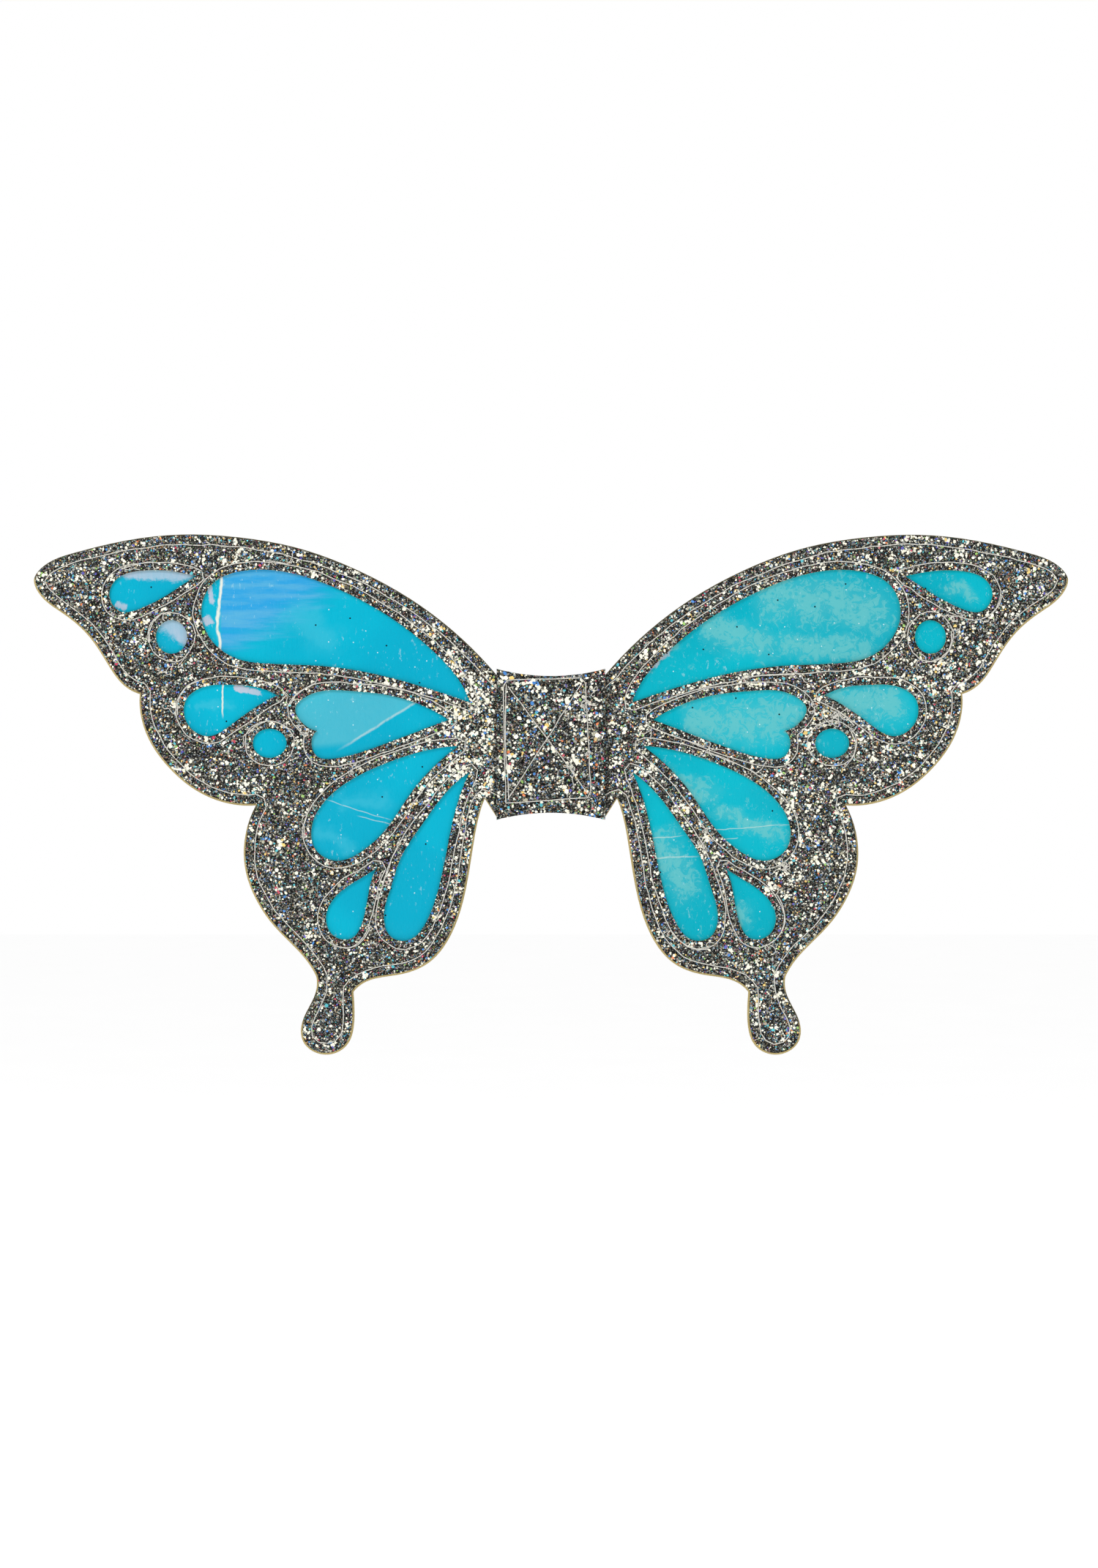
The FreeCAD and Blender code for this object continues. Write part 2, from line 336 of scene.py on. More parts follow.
class Growth(Nodes):
    """A Geometry Nodes tree with named inputs."""

    def __init__(self, name, **inputs):
        super().__init__(bpy.data.node_groups.new(name, "GeometryNodeTree"))
        sockets = self.tree.interface
        sockets.new_socket("Geometry", in_out="INPUT", socket_type="NodeSocketGeometry")
        sockets.new_socket("Geometry", in_out="OUTPUT", socket_type="NodeSocketGeometry")
        self.identifiers = {}
        for key, kind in inputs.items():
            made = sockets.new_socket(key, in_out="INPUT", socket_type="NodeSocket" + kind)
            self.identifiers[key] = made.identifier
        self.inputs = self.node("NodeGroupInput").outputs
        self.source = self.inputs["Geometry"]

    def __getitem__(self, key):
        return Value(self, self.inputs[key])

    def chance(self, low, high, seed):
        """A random number, or a random vector, for each element."""
        kind, first, output = ("FLOAT_VECTOR", 0, 0) if isinstance(low, tuple) else ("FLOAT", 2, 1)
        made = self.node("FunctionNodeRandomValue", {"data_type": kind}, Seed=seed)
        self.feed(made.inputs[first], low)
        self.feed(made.inputs[first + 1], high)
        return self.value(made, output)

    def named(self, name, kind="FLOAT"):
        """An attribute that the mesh carries."""
        return self.value(self.node("GeometryNodeInputNamedAttribute", {"data_type": kind}, name))

    def store(self, geometry, name, value, domain, kind="FLOAT"):
        return self.node("GeometryNodeStoreNamedAttribute", {"data_type": kind, "domain": domain},
                         Geometry=geometry, Name=name, Value=value)

    def rotation(self, angles):
        return self.node("FunctionNodeEulerToRotation", None, angles)

    def lines(self):
        """The mesh that the tree is given, as curves."""
        return self.node("GeometryNodeMeshToCurve", None, self.source)

    def tube(self, line, radius, sides):
        profile = self.node("GeometryNodeCurvePrimitiveCircle", Resolution=sides, Radius=radius)
        return self.node("GeometryNodeCurveToMesh", Curve=line, Profile_Curve=profile, Fill_Caps=True)

    def instances(self, points, shape, rotation, **scale):
        """A copy of a shape at each point."""
        return self.node("GeometryNodeInstanceOnPoints", Points=points, Instance=shape,
                         Rotation=rotation, **scale)

    def finish(self, geometry, material, choices=()):
        """Real geometry of one material, or of another wherever its choice says so."""
        made = self.node("GeometryNodeRealizeInstances", None, geometry)
        for chosen, paint in [(True, material), *choices]:
            made = self.node("GeometryNodeSetMaterial", Geometry=made, Selection=chosen, Material=paint)
        self.node("NodeGroupOutput", None, made)
        return self

    def grow(self, source, name, **values):
        """Runs the tree on a mesh and returns the result as a plain mesh object."""
        carrier = link_piece(name + "_source", source)
        modifier = carrier.modifiers.new("growth", "NODES")
        modifier.node_group = self.tree
        for key, value in values.items():
            modifier[self.identifiers[key]] = value
        graph = bpy.context.evaluated_depsgraph_get()
        mesh = bpy.data.meshes.new_from_object(carrier.evaluated_get(graph))
        carrier.modifiers.remove(modifier)
        bpy.data.objects.remove(carrier)
        return link_piece(name, mesh)


def link_piece(name, mesh):
    mesh.name = name
    piece = bpy.data.objects.new(name, mesh)
    bpy.context.scene.collection.objects.link(piece)
    return piece


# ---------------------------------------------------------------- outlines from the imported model
def flat_loops(node):
    """The closed outlines of a flat CAD piece's front face, the widest first, as arrays of (x, z)."""
    mesh = frame["nodes"][node].data
    points = np.array([v.co for v in mesh.vertices])
    keys = [(round(p[0] / MM, 3), round(p[2] / MM, 3)) for p in points]
    flat = points[:, 1] < points[:, 1].min() + 0.01 * MM
    sides = set()
    for polygon in mesh.polygons:
        corners = list(polygon.vertices)
        if flat[corners].all():
            sides.update((keys[a], keys[b]) for a, b in zip(corners, corners[1:] + corners[:1]))
    border = {a: b for a, b in sides if (b, a) not in sides and a != b}
    loops = []
    while border:
        start, here = border.popitem()
        loop = [start]
        while here != start:
            loop.append(here)
            here = border.pop(here)
        loops.append(turned_up(np.array(loop) * MM))
    return sorted(loops, key=lambda loop: -np.ptp(loop[:, 0]) * np.ptp(loop[:, 1]))


def turned_up(loop):
    """The loop, anticlockwise as seen from the front."""
    x, z = loop.T
    area = np.sum(x * np.roll(z, -1) - np.roll(x, -1) * z)
    return loop if area > 0 else loop[::-1]


def spaced(line, step):
    """An open line with its points moved to an even spacing."""
    along = np.concatenate([[0.0], np.cumsum(np.hypot(*np.diff(line, axis=0).T))])
    at = np.linspace(0, along[-1], max(1, round(along[-1] / step)) + 1)
    return np.stack([np.interp(at, along, line[:, k]) for k in (0, 1)], axis=1)


def even(loop, step):
    """A closed outline with its points at an even spacing, and its corners kept."""
    run = np.roll(loop, -1, axis=0) - loop
    heading = np.arctan2(run[:, 1], run[:, 0])
    turn = np.abs((heading - np.roll(heading, 1) + math.pi) % (2 * math.pi) - math.pi)
    corners = np.flatnonzero(turn > CORNER)
    first = corners[0] if len(corners) else 0
    ring = np.roll(loop, -first, axis=0)
    ring = np.vstack([ring, ring[:1]])
    stops = [c - first for c in corners] or [0]
    stops.append(len(loop))
    return np.vstack([spaced(ring[a:b + 1], step)[:-1] for a, b in zip(stops, stops[1:])])


def inside(loop, points):
    """Which points lie within a closed outline."""
    x, z = points.T
    hit = np.zeros(len(points), bool)
    for (ax, az), (bx, bz) in zip(loop, np.roll(loop, -1, axis=0)):
        if az != bz:
            crossing = (az > z) != (bz > z)
            hit ^= crossing & (x < ax + (z - az) * (bx - ax) / (bz - az))
    return hit


def search_tree(points):
    """A tree that finds the nearest of some points of the XZ plane."""
    tree = KDTree(len(points))
    for i, (x, z) in enumerate(points):
        tree.insert((x, 0, z), i)
    tree.balance()
    return tree


class Nearest:
    """How far points are from a set of lines."""

    def __init__(self, lines):
        self.tree = search_tree(np.vstack([spaced(line, FINE_STEP) for line in lines]))

    def __call__(self, x, z):
        return np.array([self.tree.find((a, 0, b))[2] for a, b in zip(x, z)])


def across(run):
    """Unit vectors to the left of the steps of a line."""
    return np.stack([-run[:, 1], run[:, 0]], axis=1) / np.hypot(*run.T)[:, None]


def scribble(rng, start, length, curl):
    """A loose thread end lying on the cloth: a line that keeps changing its turn."""
    heading = rng.uniform(-math.pi, math.pi)
    turn = 0.0
    line = [np.array(start)]
    step = 0.4 * MM
    for _ in range(max(4, round(length / step))):
        turn = 0.8 * turn + rng.gauss(0, 0.22 * curl)
        heading += turn
        line.append(line[-1] + step * np.array((math.cos(heading), math.sin(heading))))
    return np.array(line)


def beside(rng, spot, wide, high):
    """A random point near a spot that is given in millimetres."""
    return np.array(spot) * MM + np.array((rng.gauss(0, wide), rng.gauss(0, high))) * MM


def closed(loop):
    return np.vstack([loop, loop[:1]])


def fold_corners(line):
    """Where an outline, on the right of the fold, meets it: (index of the top, index of the foot)."""
    cut = np.flatnonzero(line[:, 0] < line[:, 0].min() + IN_LINE)
    return cut[line[cut, 1].argmax()], cut[line[cut, 1].argmin()]


def with_root(side, loop, inset=0.0):
    """A wing outline carried on under the centre panel, along the root that is sewn in there."""
    mirror = np.array((SIDES[side], 1))
    line = turned_up(loop * mirror)
    top, _ = fold_corners(line)
    line = np.roll(line, -(top + 1), axis=0)
    _, foot = fold_corners(line)
    root = turned_up(flat_loops(side + "_root")[0] * mirror)
    outer = np.flatnonzero(root[:, 0] > root[:, 0].max() - IN_LINE)
    high = outer[root[outer, 1].argmax()]
    low = outer[root[outer, 1].argmin()]
    root = np.roll(root, -high, axis=0)[:(low - high) % len(root) + 1]
    root[:, 1] -= np.sign(root[:, 1]) * inset
    return turned_up(np.vstack([line[foot:], root]) * mirror)


def edge_seam_line(side):
    """The line of the perimeter seam, from the foot of the fold round the wing to its top."""
    mirror = np.array((SIDES[side], 1))
    line = turned_up(flat_loops(side + "_edge_seam")[0] * mirror)
    _, foot = fold_corners(line)
    line = np.roll(line, -foot, axis=0)
    top, _ = fold_corners(line)
    line = line[:top + 1]
    tuck = 3.0 * MM
    start = line[0] + (-tuck, -0.6 * tuck)
    end = line[-1] + (-tuck, -0.9 * tuck)
    return np.vstack([[start], line, [end]]) * mirror


# ---------------------------------------------------------------- sheet shapes
def smooth(t):
    t = np.clip(t, 0, 1)
    return t * t * (3 - 2 * t)


def bow(x, z):
    """How far a wing strays from its plane: nothing at the panel, and a gentle wave further out."""
    reach = smooth((np.abs(x) - 26 * MM) / (70 * MM))
    wave = 0.8 * np.sin(34 * x + 21 * z + 0.6) + 0.5 * np.sin(71 * z - 40 * x + 1.1)
    return reach * wave * MM


def old_fold(x, z, height, width):
    """The ridge of the old fold mark that runs down the left wing."""
    line = (OLD_FOLD_X + 0.9 * np.sin(z / (9 * MM))) * MM
    foot, top = (end * MM for end in OLD_FOLD_Z)
    return np.where((z > foot) & (z < top), height * np.exp(-((x - line) / width) ** 2), 0.0)


def unevenness(x, z, size, seed):
    """Smooth random heights from -1 to 1, with bumps of about one size."""
    return np.array([noise.noise((a / size, seed, b / size)) for a, b in zip(x, z)])


def puffed(gap, rise, reach, pull):
    """The height of quilted cloth, in mm, at a distance from its stitching, which pulls it in."""
    return rise * (1 - np.exp(-gap / reach)) - pull * np.exp(-(gap / (0.55 * MM)) ** 2)


def on_cloth(loops, points):
    """Which points lie within an outline and outside its holes."""
    kept = inside(loops[0], points)
    for hole in loops[1:]:
        kept &= ~inside(hole, points)
    return kept


def fill(loops, step, rows=()):
    """Triangles over an outline with holes: its points and the triples that join them."""
    border = Nearest([closed(loop) for loop in loops])
    low, high = loops[0].min(axis=0), loops[0].max(axis=0)
    lattice = []
    for row, z in enumerate(np.arange(low[1], high[1], step * 0.87)):
        for x in np.arange(low[0] + (row % 2) * step / 2, high[0], step):
            lattice.append((x, z))
    lattice = np.array(lattice)
    clear = border(*lattice.T) > 0.55 * step
    inner = []
    if len(rows):
        clear &= Nearest(rows)(*lattice.T) > 0.45 * step
        extra = np.vstack(rows)
        inner = [extra[border(*extra.T) > 0.4 * MM]]
    points = np.vstack(loops + inner + [lattice[clear]])
    keep = on_cloth(loops, points)
    keep[:sum(len(loop) for loop in loops)] = True
    edges = []
    first = 0
    for loop in loops:
        ids = list(range(first, first + len(loop)))
        edges += list(zip(ids, ids[1:] + ids[:1]))
        first += len(loop)
    made = delaunay_2d_cdt([Vector(p) for p in points[keep]], edges, [], 0, 1e-7)
    points = np.array([tuple(v) for v in made[0]])
    triangles = np.array(made[2])
    return points, triangles[on_cloth(loops, points[triangles].mean(axis=1))]


def mesh_from(name, vertices, edges, faces):
    mesh = bpy.data.meshes.new(name)
    mesh.from_pydata(vertices.tolist(), edges, [tuple(f) for f in faces])
    mesh.update()
    return mesh


def mark(mesh, name, values):
    """Stores a number at each point of a mesh, for its material or its growth to read."""
    mesh.attributes.new(name, "FLOAT", "POINT").data.foreach_set("value", values)


def upright(points, y):
    """Points of the XZ plane at their places along Y."""
    return np.insert(points, 1, y, axis=1)


def both_faces(span, lift, proud, outward):
    """The front and back of a layer that is lifted whole, and stands proud on its outward face."""
    front, back = span
    if outward < 0:
        return front + lift - proud, back + lift
    return front + lift, back + lift + proud


def sheet(name, filled, faces_y, outward, material):
    """A closed sheet between two faces. Its depth attribute is 0 on the outward face and 1 on the other."""
    points, triangles = filled
    count = len(points)
    vertices = np.vstack([upright(points, y) for y in faces_y])
    sides = {(a, b) for t in triangles for a, b in ((t[0], t[1]), (t[1], t[2]), (t[2], t[0]))}
    border = sorted((a, b) for a, b in sides if (b, a) not in sides)
    walls = [(b, a, a + count, b + count) for a, b in border]
    faces = triangles.tolist() + (triangles[:, ::-1] + count).tolist() + walls
    mesh = mesh_from(name, vertices, [], faces)
    mark(mesh, "depth", np.repeat([0.0, 1.0] if outward < 0 else [1.0, 0.0], count))
    mesh.shade_smooth()
    mesh.set_sharp_from_angle(angle=math.radians(50))
    mesh.materials.append(material)
    return link_piece(name, mesh)


def outward_of(loop):
    """Unit vectors that point out of a closed outline."""
    return -across(np.roll(loop, -1, axis=0) - np.roll(loop, 1, axis=0))


def facing_up(loop, points):
    """1 where the nearest stretch of an outline faces up, 0 where it faces down."""
    lift = outward_of(loop)[:, 1]
    tree = search_tree(loop)
    return smooth(np.array([lift[tree.find((x, 0, z))[1]] for x, z in points]) * 1.5 + 0.1)


def lipped(loop):
    """The stiffener's outline, a little further out where it faces down."""
    clear = smooth((np.abs(loop[:, 0]) - 24 * MM) / (6 * MM))
    return loop + outward_of(loop) * (LIP * clear * (1 - facing_up(loop, loop)))[:, None]


def lines_beside(lines):
    """Rows of points along stitching and at both sides of it."""
    rows = []
    for line in lines:
        path = spaced(line, 1.0 * MM)
        aside = across(np.gradient(path, axis=0))
        rows += [path + aside * gap for gap in (-0.6 * MM, 0.0, 0.6 * MM)]
    return rows


class Wing:
    """The outlines and surfaces of one wing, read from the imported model."""

    def __init__(self, side):
        self.side = side
        loops = flat_loops(side + "_front_skin")
        self.skin = even(with_root(side, loops[0], SKIN_SETBACK), EDGE_STEP)
        self.windows = [even(loop, EDGE_STEP) for loop in loops[1:]]
        self.core = lipped(even(with_root(side, flat_loops(side + "_core")[0]), EDGE_STEP))
        self.film = even(with_root(side, flat_loops(side + "_front_film")[0], FILM_SETBACK), EDGE_STEP)
        self.window_seams = [closed(flat_loops(f"{side}_{name}_seam")[0]) for name in WINDOWS]
        self.seams = [edge_seam_line(side)] + self.window_seams
        self.overlaps, self.tails = self.run_over()
        self.to_seam = Nearest(self.seams)
        self.to_cut = Nearest([closed(loop) for loop in [self.skin] + self.windows])

    def run_over(self):
        """Where each window's seam runs over its own start, and the loose ends that it leaves there."""
        rng = random.Random(40 + SIDES[self.side])
        overlaps, tails = [], []
        for seam in self.window_seams:
            path = spaced(seam, 1.0 * MM)
            first = rng.randrange(len(path))
            length = rng.randint(9, 22)
            part = np.roll(path[:-1], -first, axis=0)[:length]
            drift = np.linspace(-0.2, 1.0, len(part)) * rng.choice((-0.6, 0.6)) * MM
            overlaps.append(part + across(np.gradient(part, axis=0)) * drift[:, None])
            for end in (part[0], part[-1]):
                for _ in range(rng.randint(1, 2)):
                    tails.append(self.loose_end(rng, end, rng.uniform(3, 8) * MM, 0.9))
        for spot, count in TANGLES[self.side]:
            for _ in range(count):
                start = beside(rng, spot, 1.6, 1.2)
                tails.append(self.loose_end(rng, start, rng.uniform(7, 14) * MM, 1.8))
        return overlaps, tails

    def loose_end(self, rng, start, length, curl):
        """A thread end that lies on the cloth, clear of the windows if a dozen tries can do it."""
        for _ in range(12):
            line = scribble(rng, start, length, curl)
            if not any(inside(loop[::6], line).any() for loop in self.windows):
                break
        return line

    def span(self, node):
        """The front and back of one of this wing's layers."""
        low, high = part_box(f"{self.side}_{node}")
        return low.y, high.y

    def relief(self, x, z):
        """How proud the glitter skin stands: puffed between seams and pulled in along them."""
        puff = puffed(self.to_seam(x, z), 0.34, 1.7 * MM, 0.26)
        lip = -0.10 * np.exp(-self.to_cut(x, z) / (0.5 * MM))
        lumps = 0.07 * unevenness(x, z, LUMP, SIDES[self.side])
        shown = smooth((np.abs(x) - 21 * MM) / (4 * MM))
        return (puff + lip + lumps) * shown * MM

    def surface(self, outward, x, z):
        """The face of the front or the back skin."""
        front, back = self.span("front_skin")[0], self.span("back_skin")[1]
        return (front if outward < 0 else back) + bow(x, z) + outward * self.relief(x, z)

    def film_relief(self, x, z):
        """Slack and crinkles in the film, held flat where the skin lies on it."""
        slack = smooth(self.to_cut(x, z) / (3 * MM))
        soft = unevenness(x, z, 9 * MM, 7 + SIDES[self.side])
        fine = unevenness(x, z, 2.2 * MM, 3 + SIDES[self.side])
        return slack * (0.16 * soft + 0.05 * fine) * MM


# ---------------------------------------------------------------- materials
def rgb(red, green, blue):
    """A colour from its 0 to 255 screen values."""
    return tuple((c / 255) ** 2.2 for c in (red, green, blue)) + (1.0,)


def glitter_paint():
    """Crushed glitter in dark glue, on tan backing cloth that shows at the cut edge. Its brightest specks are
    partly painted glint.
    """
    paint = Paint("glitter_fabric", Specular_IOR_Level=0.2)
    where = paint.place()
    fine, tone, hue, shine = paint.cells(where, 2.9)
    _, big_tone, big_hue, _ = paint.cells(where, 1.5)
    # partly painted glint: the few bright cells stand for crushed flakes that catch the light
    level = (tone ** 5.0) * 0.36 + 0.005 + big_tone.above(0.9) * 0.4
    silver = paint.mix(hue, rgb(255, 246, 214), rgb(230, 240, 246))
    colour = paint.mix(1.0, silver, paint.grey(level), "MULTIPLY")
    sparks = paint.stops(big_hue, (
        (0.0, rgb(216, 160, 96)), (0.25, rgb(96, 152, 210)), (0.5, rgb(90, 180, 186)),
        (0.72, rgb(206, 110, 130)), (0.86, rgb(140, 180, 110))))
    coloured = shine.above(0.86) * tone.above(0.3)
    colour = paint.mix(coloured * 0.6, colour, sparks)
    cloth = paint.attribute("depth").ramp(0.45, 0.55)
    weave = paint.noise(where, 2.5, detail=4.0)
    tan = paint.mix(weave, rgb(170, 152, 98), rgb(214, 200, 150))
    colour = paint.mix(cloth, colour, tan)
    metal = (1.0 - cloth) * 0.25
    rough = shine * 0.35 + 0.28 + cloth * 0.35
    relief = paint.bump(tone * 0.7 + (1.0 - fine) * 0.3, 0.16 * MM, 0.8)
    return paint.finish(Base_Color=colour, Metallic=metal, Roughness=rough, Normal=relief)


def foil_paints():
    """Cut foil flakes from dark to bright: each finish, and the shade from 0 to 1 that it starts at. The
    spread of shades is partly painted glint: how each flake's tilt catches the light, painted into its
    colour.
    """
    foils = (
        ("charcoal", (12, 12, 12), 0.26),
        ("slate", (40, 41, 37), 0.14),
        ("grey", (96, 94, 80), 0.11),
        ("copper", (230, 134, 84), 0.018),
        ("rose", (208, 82, 104), 0.014),
        ("violet", (102, 96, 186), 0.024),
        ("leaf", (156, 202, 108), 0.020),
        ("blue", (80, 142, 216), 0.050),
        ("teal", (92, 192, 204), 0.045),
        ("gold", (242, 208, 124), 0.045),
        ("silver", (184, 181, 158), 0.07),
        ("white", (255, 252, 232), 0.0),
    )
    made, start = [], 0.0
    for name, colour, extent in foils:
        gloss = 0.15 if max(colour) < 60 else 0.4
        paint = Paint("foil_" + name, Base_Color=rgb(*colour), Metallic=0.2, Roughness=0.3,
                      Specular_IOR_Level=gloss)
        made.append((start, paint.material))
        start += extent
    return made


def film_paint():
    """Iridescent film: cyan that drifts to blue, with worn patches, scratches and dust, and painted light:
    pale reflections of the lamps, a paler side of a crease, and highlights along the creases.
    """
    paint = Paint("iridescent_film", Coat_Weight=0.05, Coat_Roughness=0.12, Specular_IOR_Level=0.1)
    where = paint.place()
    x, y, z = paint.axes(where)
    brushed = paint.noise(paint.join(x, y, z * 0.22), 0.9, detail=6.0, roughness=0.62)
    drift = paint.noise(where, 0.022, detail=2.0, distortion=0.4)
    mottle = paint.noise(where, 0.3, detail=9.0, roughness=0.7, distortion=1.3)
    speckle = mottle - 0.5
    wx, _, wz = paint.axes(paint.warp(where, 0.12, 16.0))
    nx, _, nz = paint.axes(paint.warp(where, 0.35, 3.5))
    front = (MIDDLE / MM - y).above(0.0)
    right = x.ramp(-10.0, 10.0)

    # the cyan of each wing
    left_cyan = paint.mix(drift.ramp(0.4, 0.65), rgb(0, 164, 194), rgb(0, 174, 202))
    right_cyan = paint.mix(drift.ramp(0.4, 0.65), rgb(0, 166, 185), rgb(0, 176, 194))
    colour = paint.mix(right, left_cyan, right_cyan)

    # the upper end of the left wing's main pane, which drifts to blue with a drawn-out edge
    pulled = paint.noise(paint.join(x * 0.12, y, z), 0.35, detail=6.0, roughness=0.6)
    reach = (x + 80.0) * -0.53 + (z - 57.0) * 0.85 + (pulled - 0.5) * 22.0
    blue = reach.ramp(-6.0, 8.0) * x.ramp(-122.5, -121.0) * x.ramp(-60.0, -80.0) * z.ramp(22.0, 30.0) * front
    sky = paint.mix(pulled.ramp(0.35, 0.65), rgb(46, 152, 216), rgb(88, 168, 212))
    colour = paint.mix(blue * 0.9, colour, sky)

    # worn patches, crackled and teal; and across the left heart, painted light: the front film paler above a
    # slanting crease, on the side of it that faces the light
    worn = paint.marks(wx, wz, WORN)
    crackle = (worn * 0.55 + speckle * (right * 2.2 + 1.0)).ramp(0.25, 0.55)
    veil = worn * 0.3 + crackle * (right * 0.35 + 0.1)
    teal = paint.mix(right, rgb(70, 184, 208), rgb(104, 188, 190))
    colour = paint.mix(veil, colour, teal)
    heart = paint.streak(x, z, (-100.0, 9.0), (-46.0, 14.0), 15.0).ramp(0.05, 0.3)
    heart = heart * (z - 1.5 - (x + 72.1) * 0.616).ramp(-0.3, 0.8) * (mottle * 0.5 + 0.6)
    colour = paint.mix(heart * front * 0.5, colour, rgb(104, 190, 202))

    # small pale flecks, and painted reflection: pale patches where the lamps are mirrored in the glossy front
    # film
    chips = paint.noise(paint.join(x, y, z * 0.5), 0.8, detail=6.0, roughness=0.65)
    flecks = chips.ramp(0.6, 0.66) * paint.noise(where, 0.07, detail=1.0).ramp(0.45, 0.6)
    colour = paint.mix(flecks * 0.4, colour, rgb(160, 210, 220))
    glare = paint.marks(nx, nz, LAMP_GLARE)
    glare = (glare + speckle * 1.3).ramp(0.2, 0.7) * glare.above(0.02) * front
    glare_tint = paint.mix(drift.ramp(0.3, 0.7), rgb(162, 190, 210), rgb(206, 196, 210))
    colour = paint.mix(glare * (brushed * 0.5 + 0.5), colour, glare_tint)

    # creases and scratches, broken up and a little unsteady: the pale line along each crease is a painted
    # highlight, and the scratches are pale marks in the film
    shaken = paint.noise(where, 0.16, detail=2.0) * 3.0 - 1.5
    creases = paint.marks(x + shaken, z, CREASES)
    lines = paint.marks(x, z + shaken * 0.4, SCRATCHES) * 0.28
    scratch_and_crease_highlight = creases.math("MAXIMUM", lines) * (mottle + brushed - 0.4).ramp(0.2, 0.6) * front
    colour = paint.mix((scratch_and_crease_highlight * 1.5).clamp() * 0.85, colour, rgb(236, 236, 220))

    # dark specks of dust, and pale pinholes
    near, chance, _, _ = paint.cells(paint.join(x, z, 0.0), 0.07, "2D")
    dust = (0.022 - near).above(0.0) * chance.above(0.6)
    colour = paint.mix(dust, colour, rgb(10, 26, 34))
    near, chance, _, _ = paint.cells(paint.join(x, z, 0.0), 0.22, "2D")
    pinhole = (0.05 - near).above(0.0) * chance.above(0.92)
    colour = paint.mix(pinhole * 0.7, colour, rgb(214, 240, 240))
    rough = brushed * 0.12 + veil * 0.15 + 0.22
    relief = paint.bump(brushed * 0.2 + mottle * 0.3 + scratch_and_crease_highlight * 0.8, 0.3 * MM, 0.5)
    return paint.finish(Base_Color=colour, Roughness=rough, Normal=relief)


def felt_paint():
    """The tan stiffener: matted fibres, and painted shade that darkens its edge along the top of the wing."""
    paint = Paint("tan_felt")
    where = paint.place()
    fibre = paint.noise(where, 3.2, detail=5.0, roughness=0.7, distortion=0.8)
    blotch = paint.noise(where, 0.2, detail=2.0)
    colour = paint.mix(fibre.ramp(0.3, 0.7), rgb(166, 146, 92), rgb(220, 202, 146))
    colour = paint.mix(blotch * 0.35, colour, rgb(190, 174, 124))
    # painted shade: the stiffener's edge is darkened where it faces up, as if its top lay in shade
    soil = (paint.attribute("soil") + (blotch - 0.5) * 0.6).ramp(0.2, 0.7)
    colour = paint.mix(soil * 0.9, colour, rgb(84, 80, 58))
    relief = paint.bump(fibre, 0.2 * MM, 0.8)
    return paint.finish(Base_Color=colour, Roughness=fibre * 0.1 + 0.85, Normal=relief)


def thread_paint():
    """Off-white sewing thread with a faint grey twist."""
    paint = Paint("sewing_thread", Sheen_Weight=0.2)
    where = paint.place()
    ply = paint.noise(where, 4.0, detail=3.0, distortion=1.0)
    colour = paint.mix(ply.ramp(0.3, 0.7), rgb(190, 187, 177), rgb(238, 236, 227))
    relief = paint.bump(ply, 0.08 * MM, 0.7)
    return paint.finish(Base_Color=colour, Roughness=ply * 0.15 + 0.55, Normal=relief)


def tape_paint():
    """Black woven tape under the hooks."""
    paint = Paint("hook_tape_weave")
    where = paint.place()
    x, _, z = paint.axes(where)
    warp = (x * 9.0).math("SINE")
    weft = (z * 9.0).math("SINE")
    weave = warp * weft * 0.5 + 0.5
    colour = paint.mix(weave, rgb(20, 20, 22), rgb(50, 50, 54))
    relief = paint.bump(weave, 0.12 * MM, 0.8)
    return paint.finish(Base_Color=colour, Roughness=weave * 0.1 + 0.8, Normal=relief)


def hook_paint():
    """Moulded nylon hooks, black."""
    paint = Paint("nylon_hooks", Specular_IOR_Level=0.6)
    tone = paint.noise(paint.place(), 0.8, detail=2.0)
    colour = paint.mix(tone, rgb(24, 24, 26), rgb(52, 52, 56))
    return paint.finish(Base_Color=colour, Roughness=tone * 0.15 + 0.35)


# ---------------------------------------------------------------- growth trees
def flake_tree(foils):
    """Foil flakes lying at slight angles on a surface, larger and whiter where it is marked bright."""
    grow = Growth("glitter_flakes", Density="Float", Flake="Float", Seed="Int")
    flake, seed = grow["Flake"], grow["Seed"]
    bright = grow.named("bright")
    density = grow["Density"] * (bright * 0.35 + 0.85)
    spread = grow.node("GeometryNodeDistributePointsOnFaces", Mesh=grow.source, Density=density, Seed=seed)
    depth = flake * 0.3
    cone = grow.node("GeometryNodeMeshCone", Vertices=5, Radius_Top=flake, Radius_Bottom=0.0, Depth=depth)
    shape = grow.node("GeometryNodeTransform", Geometry=cone, Translation=grow.join(z=depth * -0.5))
    lean = grow.rotation(grow.chance((-0.28, -0.28, -math.pi), (0.28, 0.28, math.pi), seed))
    settings = {"rotation_space": "LOCAL"}
    turn = grow.node("FunctionNodeRotateRotation", settings, spread.outputs["Rotation"], lean)
    large = (grow.chance(0.0, 1.0, 8) + bright * 0.22).above(0.945)
    size = grow.chance(0.0, 1.0, 5) ** 2.5 + 0.65
    size = size + bright * grow.chance(0.2, 1.7, 6) + large * grow.chance(0.5, 1.3, 11)
    size = size.math("MINIMUM", grow.named("room") / flake)
    narrow = size * grow.chance(0.5, 1.0, 7)
    placed = grow.instances(spread, shape, turn, Scale=grow.join(size, narrow, size))
    # partly painted glint: flakes marked bright take the whiter foils
    foil = grow.chance(-0.09, 0.97, 9) + bright * grow.chance(0.3, 1.1, 10) + large * 0.5
    placed = grow.store(placed, "foil", foil, "INSTANCE")
    foil = grow.named("foil")
    choices = [(foil.above(start), material) for start, material in foils[1:]]
    return grow.finish(placed, foils[0][1], choices)


def strand_tree(material):
    """Thread that simply follows lines."""
    grow = Growth("loose_threads", Thread="Float")
    return grow.finish(grow.tube(grow.lines(), grow["Thread"], 5), material)


